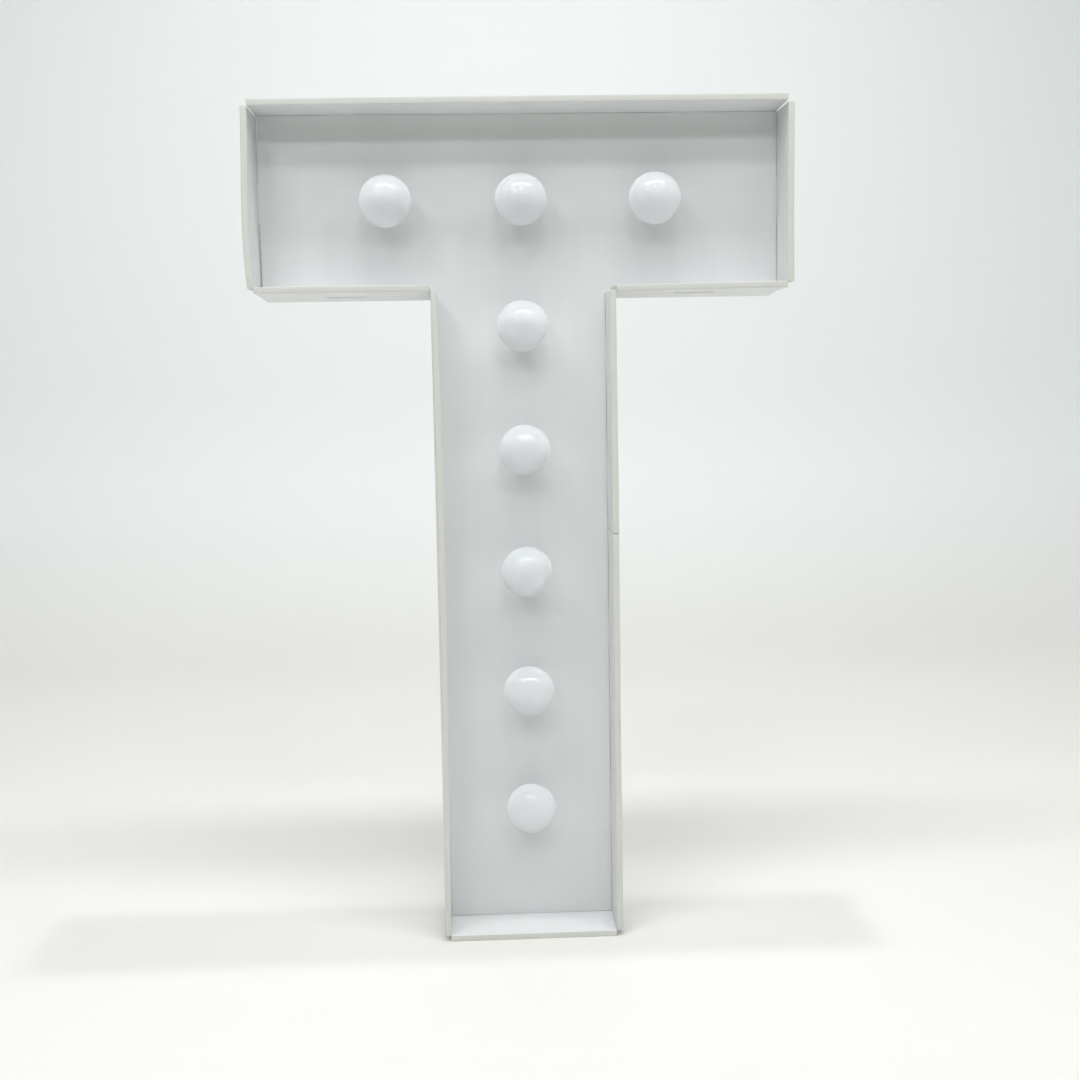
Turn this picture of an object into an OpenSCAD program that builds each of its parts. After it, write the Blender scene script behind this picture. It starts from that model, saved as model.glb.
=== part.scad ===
// Light-up letter: an open tray of foamed board held together by tabs and slots, with globe lamps
// in sockets clamped through its panel, their wiring behind it, and a battery case with a switch.
// Millimetres. +X is to the right seen from the front, +Y runs to the back and +Z is up.
// The letter stands on its foot wall at Z = 0, and Y = 0 is half way through its depth.

/* [Letter] */
// Height over the walls
letter_height = 1220; // [1190:5:1400]
// Width over the end walls
letter_width = 775; // [720:5:900]
// Height of the cross bar over its walls
bar_height = 268; // [230:2:300]
// Width of the stem over its walls
stem_width = 266; // [240:2:300]

/* [Boards] */
// Thickness of the panel and of the wall strips
board = 9; // [8:0.5:12]
// Depth of the wall strips, front to back
depth = 140; // [132:2:180]
// Depth of the front tray, from the wall edges to the panel
tray = 80; // [80:1:92]
// Length of a panel tab
tab_length = 58; // [40:1:80]
// How far a tab ends short of the wall's outer face
tab_short = 3.5; // [0:0.5:5]
// Clearance of a tab along its slot
tab_gap = 0.3; // [0.1:0.1:0.6]
// Clearance of a slot in front of its tab, which rests on the slot's back
slot_gap = 0.6; // [0.1:0.1:1]
// Gap between the panel's edge and the walls
panel_gap = 0.5; // [0.2:0.1:1.5]
// Gap between the panel's left end and its wall
left_gap = 2.4; // [0.2:0.1:3]
// Height of the butt seam in the right stem wall
seam_height = 604; // [560:1:660]
// Width of the butt seam
seam_gap = 1; // [0.4:0.1:2]

/* [Lamps] */
// Distance from lamp to lamp in the cross bar
lamp_spacing = 193; // [160:1:240]
// Distance of the lamps in the cross bar below the top
lamp_drop = 136; // [120:1:150]
// Height of the lowest lamp
lamp_foot = 188; // [150:1:230]
// Diameter of a globe
globe_d = 74; // [60:1:76]
// Wall of a globe
globe_wall = 1.6; // [1:0.1:2.4]
// Height of a globe's centre over the panel
globe_rise = 42; // [41:1:46]
// Diameter of a globe's neck
neck_d = 31; // [28:0.5:33]
// Radial running clearance of the neck in its socket
neck_gap = 0.15; // [0.05:0.05:0.3]

/* [Sockets] */
// Diameter of the front flange
flange_d = 48; // [44:1:52]
// Thickness of the front flange
flange_t = 3; // [2:0.5:4]
// Wall of the socket barrel
barrel_wall = 2.5; // [2:0.1:3.2]
// Clearance of the barrel in the panel and in its ring
barrel_gap = 0.3; // [0.2:0.1:0.5]
// Depth of the seat for the light board under the panel's face
seat_depth = 9.5; // [9:0.5:11]
// Outer diameter of the clamp ring
ring_d = 50; // [48:1:54]
// Thickness of the clamp ring
ring_t = 7; // [5:0.5:8]
// Length of the end cap behind the barrel
cap_length = 12; // [10:0.5:14]
// Diameter of the light board
led_board_d = 22; // [18:1:24]

/* [Wiring] */
// Diameter of one core of the twin wire
core_d = 2.2; // [1.8:0.1:2.6]
// Clearance of the twin wire in its holes and clips
wire_gap = 0.3; // [0.2:0.1:0.5]
// Bend radius of the wire from the battery case
feed_bend = 45; // [40:1:55]
// Length of a wire clip
clip_length = 8; // [6:1:12]
// Width of a clip's stick-on foot
clip_foot = 16; // [14:1:20]

/* [Battery case] */
// Diameter of a cell
cell_d = 14.2; // [14:0.1:14.5]
// Length of a cell with its nub
cell_length = 50.5; // [49.5:0.1:50.5]
// Wall of the case
case_wall = 2; // [1.6:0.1:2.6]
// Room for the contact spring at a cell's flat end
spring_room = 4.5; // [3.5:0.1:6]
// Thickness of the foam pads behind the case
pad_t = 1; // [0.6:0.1:2]
// Thickness of the sliding lid
lid_t = 1.4; // [1.2:0.1:2]
// Clearance of the lid in its grooves
lid_gap = 0.25; // [0.15:0.05:0.4]
// Length of the switch bay
switch_bay = 15; // [14:0.5:20]
// Travel of the switch button
switch_travel = 4; // [3:0.5:5]

/* [Hidden] */
$fn = 96;
bar_lamps = 3;
stem_lamps = 5;
lamps = bar_lamps + stem_lamps;
feed_lamp = lamps - 1;
board_colour = [0.88, 0.89, 0.87];
globe_colour = [0.95, 0.95, 0.95];
white_plastic = [0.92, 0.92, 0.9];
wire_colour = [0.9, 0.9, 0.88];
case_colour = [0.93, 0.93, 0.92];
metal_colour = [0.75, 0.75, 0.72];

panel_y = tray - depth / 2;
back_y = panel_y + board;
row_z = letter_height - lamp_drop;
lamp_pitch = (row_z - lamp_foot) / stem_lamps;
lamp_at = concat(
    [for (i = [-1 : 1]) [i * lamp_spacing, row_z]],
    [for (i = [1 : stem_lamps]) [0, row_z - i * lamp_pitch]]
);

half_w = letter_width / 2 - board;
half_s = stem_width / 2 - board;
bar_z = letter_height - bar_height;
bar_mid = bar_z + bar_height / 2;
tab_root = left_gap + panel_gap;
seam_low = seam_height - seam_gap / 2;
seam_top = seam_height + seam_gap / 2;

// Each wall: its middle in X and Z on the inner face, its turn about Y, its length and its tabs.
top_strip = [0, letter_height - board, 0, 2 * half_w, 3];
left_end_strip = [-half_w, bar_mid, -90, bar_height - 2 * board, 1];
right_end_strip = [half_w, bar_mid, 90, bar_height - 2 * board, 1];
arm_length = half_w - half_s - board;
left_arm_strip = [-half_w + arm_length / 2, bar_z + board, 180, arm_length, 1];
right_arm_strip = [half_w - arm_length / 2, bar_z + board, 180, arm_length, 1];
left_stem_strip = [-half_s, (bar_z + board) / 2, -90, bar_z - board, 4];
upper_stem_strip = [half_s, (bar_z + seam_top) / 2, 90, bar_z - seam_top, 2];
lower_stem_strip = [half_s, (seam_low + board) / 2, 90, seam_low - board, 2];
foot_strip = [0, board, 180, 2 * half_s, 1];
strips = [top_strip, left_end_strip, right_end_strip, left_arm_strip, right_arm_strip,
    left_stem_strip, upper_stem_strip, lower_stem_strip, foot_strip];
function tab_centres(s) = [for (i = [0 : s[4] - 1]) s[3] * ((i + 0.5) / s[4] - 0.5)];

mouth_r = neck_d / 2 + neck_gap;
barrel_r = mouth_r + barrel_wall;
hole_r = barrel_r + barrel_gap;
barrel_end = board + ring_t + 2;
floor_t = 3;
cap_wall = 2;
cap_end = barrel_end + cap_length;
wire_level = barrel_end + cap_length / 2;
wire_hole_r = core_d + wire_gap;
shoulder_r = neck_d / 2 + 2;
shoulder_t = 2;
led_t = 1.6;
led_r = 2.5;
lead_r = 0.7;
lead_side = 4;

// Directions of the wire holes in the end cap of lamp k, seen from the front.
function wire_ways(k) =
    k == 1 ? [0]
    : k == 2 ? [0, 180, 270]
    : k == 3 ? [180]
    : k == feed_lamp ? [90, 270, 0]
    : k == lamps ? [90]
    : [90, 270];
spans = concat([[1, 2], [2, 3], [2, 4]], [for (k = [4 : lamps - 1]) [k, k + 1]]);

clip_base = 1.2;
clip_wall = 1.4;
wire_low = clip_base + wire_gap + core_d / 2;

cell_pitch = cell_d + 0.8;
plate_t = 0.5;
bay_w = 3 * cell_pitch;
bay_length = cell_length + spring_room + plate_t + 0.3;
groove = 1.4;
case_w = bay_w + 2 * (groove + case_wall);
case_length = bay_length + switch_bay + 3 * case_wall;
cell_y = pad_t + case_wall + 0.3 + cell_d / 2;
groove_y = cell_y + cell_d / 2 + 0.6;
groove_t = lid_t + 2 * lid_gap;
lip_t = 1.2;
case_y = groove_y + groove_t + lip_t;
case_top = lamp_at[feed_lamp - 1][1] - feed_bend;
exit_x = barrel_r + feed_bend;
case_x = exit_x + bay_w / 2 - 12;
case_foot = case_top - case_length;
bay_foot = case_foot + case_wall;
bay_top = bay_foot + bay_length;
switch_x = case_x + 8;
switch_z = bay_top + case_wall + switch_bay / 2;
lid_ribs = 5;
lid_rib_w = 18;
lid_rib_pitch = 2.4;
lid_rib_rise = 0.7;
thumb_r = 18;
thumb_w = 14;
button = [4, 3];
button_rise = 2.4;
frame_y = case_y - case_wall;
frame_depth = 5;
frame_wall = 0.8;
slide_foot = [6, 4.6, 1.6];
slide_gap = 0.3;
way_w = slide_foot[0] + switch_travel + 2 * slide_gap;
way_h = slide_foot[1] + 2 * slide_gap;

// Puts a lamp's own axis on its place: local Z runs from the panel's face towards the front.
module at_lamp(k) {
    translate([lamp_at[k - 1][0], panel_y, lamp_at[k - 1][1]]) rotate([90, 0, 0]) children();
}

// Puts a drawing in X and depth behind the panel on its place beside the stem's lamps.
module at_back() {
    translate([0, back_y, 0]) children();
}

module strip(s) {
    color(board_colour) translate([s[0], 0, s[1]]) rotate([0, s[2], 0]) difference() {
        translate([-s[3] / 2, -depth / 2, 0]) cube([s[3], depth, board]);
        for (c = tab_centres(s))
            translate([c - tab_length / 2 - tab_gap, panel_y - slot_gap, -1])
                cube([tab_length + 2 * tab_gap, board + slot_gap, board + 2]);
    }
}

module face_panel() {
    color(board_colour) translate([0, back_y, 0]) rotate([90, 0, 0]) linear_extrude(board)
        difference() {
            union() {
                translate([left_gap - half_w, bar_z + board + panel_gap])
                    square([2 * half_w - left_gap - panel_gap, bar_height - 2 * (board + panel_gap)]);
                translate([panel_gap - half_s, board + panel_gap])
                    square([2 * (half_s - panel_gap), bar_z + board]);
                // A square ear closes each inner corner, beside the arm wall's end and over the stem wall's top.
                for (side = [0, 1]) mirror([side, 0])
                    translate([panel_gap - half_s - board, bar_z + panel_gap]) square(2 * board);
                for (s = strips) translate([s[0], s[1]]) rotate(-s[2])
                    for (c = tab_centres(s)) translate([c - tab_length / 2, -tab_root])
                        square([tab_length, board - tab_short + tab_root]);
            }
            for (p = lamp_at) translate(p) circle(r = hole_r);
        }
}

module top_wall() strip(top_strip);
module left_end_wall() strip(left_end_strip);
module right_end_wall() strip(right_end_strip);
module left_arm_wall() strip(left_arm_strip);
module right_arm_wall() strip(right_arm_strip);
module left_stem_wall() strip(left_stem_strip);
module right_stem_wall_upper() strip(upper_stem_strip);
module right_stem_wall_lower() strip(lower_stem_strip);
module foot_wall() strip(foot_strip);

// A hollow globe whose neck turns in the socket and whose shoulder seats on the flange.
module globe(k) {
    color(globe_colour) at_lamp(k) difference() {
        union() {
            translate([0, 0, globe_rise]) sphere(d = globe_d);
            translate([0, 0, 1.2 - seat_depth + led_t]) cylinder(d = neck_d, h = globe_rise / 2 + seat_depth - led_t);
            translate([0, 0, flange_t + slide_gap]) cylinder(r = shoulder_r, h = shoulder_t);
        }
        translate([0, 0, globe_rise]) sphere(r = globe_d / 2 - globe_wall);
        translate([0, 0, -seat_depth]) cylinder(d = neck_d - 2 * globe_wall, h = globe_rise);
    }
}

// Flange, barrel and floor of a socket, turned from one profile.
module socket(k) {
    color(white_plastic) at_lamp(k) difference() {
        rotate_extrude() polygon([
            [0, -seat_depth - floor_t], [0, -seat_depth], [mouth_r, -seat_depth], [mouth_r, flange_t],
            [flange_d / 2 - 1.5, flange_t], [flange_d / 2, flange_t - 1], [flange_d / 2, 0],
            [barrel_r, 0], [barrel_r, -barrel_end], [barrel_r - barrel_wall, -barrel_end],
            [barrel_r - barrel_wall, -seat_depth - floor_t]
        ]);
        for (i = [-1, 1]) translate([i * lead_side, 0, -seat_depth - floor_t - 1])
            cylinder(r = lead_r + 0.3, h = floor_t + 2);
    }
}

// Ring behind the panel that pulls the flange tight, with finger notches round its rim.
module clamp_rings() {
    color(white_plastic) for (k = [1 : lamps]) at_lamp(k) translate([0, 0, -board - ring_t]) difference() {
        cylinder(d = ring_d, h = ring_t);
        translate([0, 0, -1]) cylinder(r = barrel_r + barrel_gap, h = ring_t + 2);
        for (a = [15 : 30 : 345]) rotate(a) translate([ring_d / 2 + 1, 0, -1]) cylinder(r = 3, h = ring_t + 2);
    }
}

// Cup that closes the barrel behind, with a hole for each wire that meets the lamp.
module socket_end_caps() {
    color(white_plastic) for (k = [1 : lamps]) at_lamp(k) difference() {
        rotate_extrude() polygon([
            [0, -cap_end], [barrel_r - 2, -cap_end], [barrel_r, -cap_end + 2], [barrel_r, -barrel_end],
            [mouth_r - barrel_gap, -barrel_end], [mouth_r - barrel_gap, -barrel_end + 4],
            [mouth_r - barrel_gap - cap_wall, -barrel_end + 4],
            [mouth_r - barrel_gap - cap_wall, -cap_end + cap_wall], [0, -cap_end + cap_wall]
        ]);
        for (a = wire_ways(k)) rotate(a) translate([mouth_r / 2, 0, -wire_level]) rotate([0, 90, 0])
            cylinder(r = wire_hole_r, h = barrel_r);
    }
}

module light_boards() {
    color([0.95, 0.95, 0.93]) for (k = [1 : lamps]) at_lamp(k)
        translate([0, 0, -seat_depth]) cylinder(d = led_board_d, h = led_t);
}

module light_emitters() {
    color([0.95, 0.85, 0.45]) for (k = [1 : lamps]) at_lamp(k)
        translate([0, 0, -seat_depth + led_t]) intersection() {
            translate([0, 0, 0.5]) sphere(r = led_r);
            cylinder(r = led_r, h = 2 * led_r);
        }
}

module lead_wires() {
    color(wire_colour) for (k = [1 : lamps]) at_lamp(k) for (i = [-1, 1])
        translate([i * lead_side, 0, -wire_level]) cylinder(r = lead_r, h = wire_level - seat_depth);
}

// Twin wire: a section with a waist, drawn through the points p, its wide way along the unit vector b.
wire_sides = 12;
function unit(a) = a / norm(a);
function along(p, i) = unit(p[min(i + 1, len(p) - 1)] - p[max(i - 1, 0)]);
function section(a) = [core_d * cos(a), 0.7 * core_d * sin(a) * (1 - 0.45 * pow(sin(a), 6))];
function ring(p, b, i) = [for (j = [0 : wire_sides - 1])
    let (s = section(360 * j / wire_sides)) p[i] + s[0] * b + s[1] * cross(along(p, i), b)];
module twin_wire(p, b) {
    n = len(p);
    w = wire_sides;
    color(wire_colour) polyhedron(
        points = [for (i = [0 : n - 1]) each ring(p, b, i)],
        faces = concat(
            [[for (j = [0 : w - 1]) j]],
            [[for (j = [w - 1 : -1 : 0]) (n - 1) * w + j]],
            [for (i = [0 : n - 2]) for (j = [0 : w - 1])
                [i * w + j, (i + 1) * w + j, (i + 1) * w + (j + 1) % w, i * w + (j + 1) % w]]
        ),
        convexity = 4
    );
}

// A run between two lamps, dipping to its clip on the panel half way.
span_rings = 15;
module wire_span(s) {
    a = lamp_at[s[0] - 1];
    b = lamp_at[s[1] - 1];
    d = (b - a) / norm(b - a);
    from = a + d * (barrel_r - cap_wall);
    to = b - d * (barrel_r - cap_wall);
    high = panel_y + wire_level;
    low = back_y + wire_low;
    path = [for (i = [0 : span_rings - 1])
        let (t = i / (span_rings - 1), q = from + (to - from) * t)
        [q[0], high - (high - low) * (1 - cos(360 * t)) / 2, q[1]]];
    twin_wire(path, abs(d[0]) > 0.5 ? [0, 0, 1] : [1, 0, 0]);
}

// From the battery case up, round a quarter bend and into the side of its lamp's end cap.
bend_rings = 12;
module feed_wire() {
    z = lamp_at[feed_lamp - 1][1];
    path = concat(
        [[exit_x, panel_y + wire_level, case_top - case_wall]],
        [for (i = [0 : bend_rings]) let (a = 90 * i / bend_rings)
            [barrel_r + feed_bend * cos(a), panel_y + wire_level, case_top + feed_bend * sin(a)]],
        [[barrel_r - cap_wall, panel_y + wire_level, z]]
    );
    twin_wire(path, [0, 1, 0]);
}

// Stick-on saddle over the middle of each run.
module wire_clips() {
    inner = [2 * core_d + 2 * wire_gap, core_d + 2 * wire_gap];
    outer = [inner[0] + 2 * clip_wall, clip_base + inner[1] + clip_wall];
    color(white_plastic) for (s = spans) {
        a = lamp_at[s[0] - 1];
        b = lamp_at[s[1] - 1];
        m = (a + b) / 2;
        translate([m[0], back_y, m[1]]) rotate([0, a[1] == b[1] ? 90 : 0, 0])
            translate([0, 0, -clip_length / 2]) linear_extrude(clip_length) difference() {
                polygon([
                    [-clip_foot / 2, 0], [clip_foot / 2, 0], [clip_foot / 2, clip_base - 0.4],
                    [clip_foot / 2 - 1, clip_base], [outer[0] / 2, clip_base],
                    [outer[0] / 2, outer[1] - 1.2], [outer[0] / 2 - 1.2, outer[1]],
                    [1.2 - outer[0] / 2, outer[1]], [-outer[0] / 2, outer[1] - 1.2],
                    [-outer[0] / 2, clip_base], [1 - clip_foot / 2, clip_base],
                    [-clip_foot / 2, clip_base - 0.4]
                ]);
                translate([-inner[0] / 2, clip_base]) square(inner);
            }
    }
}

// Moulded case: cell bay with cradle ribs, lid grooves open at the foot, and a bay for the switch.
module battery_case() {
    color(case_colour) at_back() difference() {
        union() {
            difference() {
                translate([case_x - case_w / 2, pad_t, case_foot]) cube([case_w, case_y - pad_t, case_length]);
                translate([case_x - bay_w / 2, pad_t + case_wall, bay_foot]) cube([bay_w, case_y, bay_length]);
            }
            for (i = [-0.5, 0.5]) for (j = [0.25, 0.75])
                translate([case_x + i * cell_pitch - 1, pad_t + case_wall / 2, bay_foot + bay_length * j - 5])
                    cube([2, case_wall / 2 + cell_d * 0.28, 10]);
        }
        for (i = [-1, 0, 1]) translate([case_x + i * cell_pitch, cell_y, bay_foot + spring_room / 2])
            cylinder(d = cell_d + 0.6, h = bay_length - spring_room);
        translate([case_x - bay_w / 2 - groove, groove_y, case_foot - 1])
            cube([bay_w + 2 * groove, groove_t, bay_length + case_wall + 1]);
        translate([case_x - bay_w / 2, groove_y, case_foot - 1])
            cube([bay_w, case_y, bay_length + case_wall + 1]);
        translate([case_x - bay_w / 2, -1, bay_top + case_wall])
            cube([bay_w, frame_y + 1, switch_bay]);
        translate([switch_x - (button[0] + switch_travel) / 2 - slide_gap, 0, switch_z - button[1] / 2 - slide_gap])
            cube([button[0] + switch_travel + 2 * slide_gap, case_y + 1, button[1] + 2 * slide_gap]);
        translate([exit_x, wire_level - board, case_top - 2 * case_wall]) cylinder(r = wire_hole_r, h = 4 * case_wall);
    }
}

// Lid with edges in the case's grooves, grip ribs across its foot and a thumb hollow.
module battery_lid() {
    length = bay_length + case_wall - lid_gap;
    color(case_colour) at_back() translate([case_x, 0, case_foot]) difference() {
        union() {
            translate([-bay_w / 2 - groove + lid_gap, groove_y + lid_gap, 0])
                cube([bay_w + 2 * (groove - lid_gap), lid_t, length]);
            translate([-bay_w / 2 + lid_gap, groove_y + lid_gap, 0])
                cube([bay_w - 2 * lid_gap, case_y - groove_y - lid_gap, length]);
            for (i = [0 : lid_ribs - 1])
                translate([-lid_rib_w / 2, case_y - lip_t / 2, lid_rib_pitch * (i + 2)])
                    cube([lid_rib_w, lip_t / 2 + lid_rib_rise, lid_rib_pitch / 2]);
        }
        translate([0, case_y + thumb_r - lip_t, length / 2]) rotate([0, 90, 0])
            cylinder(r = thumb_r, h = thumb_w, center = true);
    }
}

// Three cells side by side, the middle one the other way up.
module cells() {
    nub = 1.3;
    color([0.55, 0.57, 0.6]) at_back() for (i = [-1, 0, 1])
        translate([case_x + i * cell_pitch, cell_y, i == 0 ? bay_foot + plate_t + 0.3 + cell_length : bay_foot + spring_room])
            rotate([i == 0 ? 180 : 0, 0, 0]) {
                cylinder(d = cell_d, h = cell_length - nub);
                cylinder(d = 5.4, h = cell_length);
            }
}

// Flat plates for the nubs and bowed leaves for the flat ends, joined in pairs across two cells.
module cell_contacts() {
    plate = cell_d - 4;
    leaf = spring_room - plate_t - 0.3;
    color(metal_colour) at_back() {
        for (top = [0, 1]) translate([0, 0, top ? bay_top : bay_foot]) mirror([0, 0, top]) {
            for (i = [-1, 0, 1]) translate([case_x + i * cell_pitch - plate / 2, cell_y - 5, 0]) {
                cube([plate, 10, plate_t]);
                if ((i == 0) == (top == 1))
                    translate([plate / 2 - 2, 5, plate_t - 0.2]) rotate([90, 0, 90]) linear_extrude(4)
                        polygon([[-4.5, 0], [-3.9, 0], [-1, leaf - 0.4], [1, leaf - 0.4], [3.9, 0], [4.5, 0],
                            [1.3, leaf + 0.2], [-1.3, leaf + 0.2]]);
            }
            translate([case_x + (top ? 0 : -cell_pitch), cell_y - 2, 0]) cube([cell_pitch, 4, plate_t]);
        }
    }
}

// Open-topped metal frame in which the button slides, held under the face of the switch bay.
module switch_frame() {
    color(metal_colour) at_back() translate([switch_x, frame_y - frame_depth, switch_z]) difference() {
        translate([-way_w / 2 - frame_wall, 0, -way_h / 2 - frame_wall])
            cube([way_w + 2 * frame_wall, frame_depth, way_h + 2 * frame_wall]);
        translate([-way_w / 2, frame_wall, -way_h / 2]) cube([way_w, frame_depth, way_h]);
    }
}

// Button at its off end, with a wider foot under the face.
module switch_button() {
    x = switch_x - switch_travel / 2;
    color([0.2, 0.2, 0.21]) at_back() {
        translate([x - slide_foot[0] / 2, frame_y - frame_depth + frame_wall + slide_gap, switch_z - slide_foot[1] / 2])
            cube([slide_foot[0], frame_depth - frame_wall - 2 * slide_gap, slide_foot[1]]);
        translate([x - button[0] / 2, frame_y - 1, switch_z - button[1] / 2])
            cube([button[0], case_wall + 1 + button_rise - 0.6, button[1]]);
        for (i = [-1, 0, 1]) translate([x + i * 1.4 - 0.5, frame_y, switch_z - button[1] / 2])
            cube([1, case_wall + button_rise, button[1]]);
    }
}

module foam_pads() {
    color([0.86, 0.86, 0.84]) at_back() for (i = [-1, 1])
        translate([case_x + i * case_w / 4 - 5, 0, case_foot + 4]) cube([10, pad_t, bay_length - 4]);
}

face_panel();
top_wall();
left_end_wall();
right_end_wall();
left_arm_wall();
right_arm_wall();
left_stem_wall();
right_stem_wall_upper();
right_stem_wall_lower();
foot_wall();
for (k = [1 : lamps]) globe(k);
for (k = [1 : lamps]) socket(k);
clamp_rings();
socket_end_caps();
light_boards();
light_emitters();
lead_wires();
for (s = spans) wire_span(s);
feed_wire();
wire_clips();
battery_case();
battery_lid();
cells();
cell_contacts();
switch_frame();
switch_button();
foam_pads();
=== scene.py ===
"""Finish for a free-standing light-up letter: board walls, milky globes, sockets, wiring and a
battery case, and the stage that it stands on."""

import math

import bmesh
import bpy
import numpy as np
from bpy.props import FloatProperty, FloatVectorProperty, IntProperty, PointerProperty
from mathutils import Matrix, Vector


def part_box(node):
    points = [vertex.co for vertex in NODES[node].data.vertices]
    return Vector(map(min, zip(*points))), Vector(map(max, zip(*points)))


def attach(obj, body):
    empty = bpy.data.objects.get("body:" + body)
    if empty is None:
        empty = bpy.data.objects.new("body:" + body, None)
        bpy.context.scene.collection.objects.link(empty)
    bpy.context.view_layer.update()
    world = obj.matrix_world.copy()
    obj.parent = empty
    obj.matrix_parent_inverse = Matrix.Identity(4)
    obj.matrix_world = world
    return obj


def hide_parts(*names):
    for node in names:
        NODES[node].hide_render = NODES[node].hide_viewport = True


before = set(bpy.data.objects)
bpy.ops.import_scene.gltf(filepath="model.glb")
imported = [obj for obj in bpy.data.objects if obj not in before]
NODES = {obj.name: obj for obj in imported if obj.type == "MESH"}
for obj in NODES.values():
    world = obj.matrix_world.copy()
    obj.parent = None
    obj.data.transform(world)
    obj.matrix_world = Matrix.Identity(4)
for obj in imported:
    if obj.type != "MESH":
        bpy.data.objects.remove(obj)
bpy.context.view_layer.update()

bl_info = {
    "name": "Light-up letter finish",
    "version": (1, 0, 0),
    "blender": (4, 5, 0),
    "location": "View3D > Sidebar > Letter",
    "description": "Dresses a light-up letter's frame with board, milky globes, sockets and wiring",
    "category": "Object",
}

LETTER = "letter"
LAMP_COUNT = sum(1 for name in NODES if name.startswith("globe_"))


def node_box(node):
    """Lowest and highest corner of a CAD node as two arrays."""
    low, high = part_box(node)
    return np.array(low), np.array(high)


def node_size(node):
    """Width, depth and height of a CAD node."""
    low, high = node_box(node)
    return high - low


def lamp_centre(k):
    """Where the axis of lamp k crosses the panel, as (x, z)."""
    low, high = node_box(f"socket_{k}")
    return tuple((low + high)[[0, 2]] / 2)


PANEL_FRONT, PANEL_BACK = (float(corner[1]) for corner in node_box("face_panel"))
LAMPS = [lamp_centre(k) for k in range(1, LAMP_COUNT + 1)]
GLOBE_RADIUS = float(node_size("globe_1")[[0, 2]].max() / 2)
FLANGE_RADIUS = float(node_size("socket_1")[0] / 2)

# Each wall: its node, the way its outer face looks along X or Z, its tabs, and how far its free
# front edge leans outwards in metres: all along, towards one end, bowed, and the bow's skew, and
# how far its back edge does.
WALLS = (
    ("top_wall", 1, 3, (0.0012, 0.0008, 0.0004, 0.0, 0.0)),
    ("left_end_wall", -1, 1, (-0.0003, 0.0003, 0.0032, -0.0028, 0.0)),
    ("right_end_wall", 1, 1, (0.0, 0.0, -0.0006, 0.0, 0.0)),
    ("left_arm_wall", -1, 1, (-0.0024, 0.0, 0.0, 0.0, 0.0036)),
    ("right_arm_wall", -1, 1, (0.0002, -0.0012, 0.0, 0.0, 0.0044)),
    ("left_stem_wall", -1, 4, (-0.0012, -0.0007, -0.0034, -0.0018, 0.0)),
    ("right_stem_wall_upper", 1, 2, (-0.0004, -0.0006, 0.0, 0.0, 0.0)),
    ("right_stem_wall_lower", 1, 2, (0.0, 0.0, -0.0006, 0.0, 0.0)),
    ("foot_wall", -1, 1, (0.0, 0.0, 0.0, 0.0, 0.0)),
)


class BoardSettings(bpy.types.PropertyGroup):
    """Sizes and colours of the board walls and panel."""

    edge_round: FloatProperty(
        name="Edge rounding", description="Radius worn on the edges of the cut board",
        default=0.0009, min=0.0002, max=0.003, unit="LENGTH")
    tab_length: FloatProperty(
        name="Tab length", description="Length of a panel tab in its slot",
        default=0.058, unit="LENGTH")
    tab_gap: FloatProperty(
        name="Tab gap", description="Clearance of a tab along its slot",
        default=0.0003, unit="LENGTH")
    slot_gap: FloatProperty(
        name="Slot gap", description="Clearance of a slot in front of its tab",
        default=0.0006, unit="LENGTH")
    face_colour: FloatVectorProperty(
        name="Face colour", description="Colour of the board's smooth skin",
        default=(0.765, 0.775, 0.775), subtype="COLOR", min=0, max=1)
    edge_colour: FloatVectorProperty(
        name="Edge colour", description="Colour of the board's cut edge",
        default=(0.69, 0.695, 0.65), subtype="COLOR", min=0, max=1)


class LampSettings(bpy.types.PropertyGroup):
    """Sizes and colours of the globes and sockets."""

    rise: FloatProperty(
        name="Globe rise", description="Height of a globe's centre over the panel",
        default=0.042, unit="LENGTH")
    wall: FloatProperty(
        name="Globe wall", description="Wall of a globe", default=0.0016, unit="LENGTH")
    neck_radius: FloatProperty(
        name="Neck radius", description="Radius of a globe's neck", default=0.0155, unit="LENGTH")
    ring_radius: FloatProperty(
        name="Ring radius", description="Outer radius of a clamp ring",
        default=0.025, unit="LENGTH")
    segments: IntProperty(
        name="Segments", description="Steps round a turned piece", default=96, min=24, max=256)
    globe_colour: FloatVectorProperty(
        name="Globe colour", description="Colour of the milky globes",
        default=(0.96, 0.975, 1.0), subtype="COLOR", min=0, max=1)
    socket_colour: FloatVectorProperty(
        name="Socket colour", description="Colour of the moulded sockets and rings",
        default=(0.80, 0.80, 0.78), subtype="COLOR", min=0, max=1)


class WireSettings(bpy.types.PropertyGroup):
    """Sizes and colour of the twin wire."""

    core: FloatProperty(
        name="Core diameter", description="Diameter of one core of the twin wire",
        default=0.0022, unit="LENGTH")
    rings: IntProperty(
        name="Rings", description="Steps along a run of wire", default=72, min=16, max=200)
    colour: FloatVectorProperty(
        name="Wire colour", description="Colour of the wire's sheath",
        default=(0.80, 0.80, 0.76), subtype="COLOR", min=0, max=1)


class StageSettings(bpy.types.PropertyGroup):
    """Light and floor of the stage."""

    floor_colour: FloatVectorProperty(
        name="Floor colour", description="Colour of the floor",
        default=(0.83, 0.815, 0.775), subtype="COLOR", min=0, max=1)
    backdrop_colour: FloatVectorProperty(
        name="Backdrop colour", description="Colour of the backdrop",
        default=(0.90, 0.925, 0.92), subtype="COLOR", min=0, max=1)
    lamp_level: FloatProperty(
        name="Lamp level", description="Level of the studio lamps", default=1.0, min=0.0, max=4.0)
    sky_level: FloatProperty(
        name="Room level", description="Level of the soft light from all round",
        default=1.0, min=0.0, max=2.0)


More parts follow.
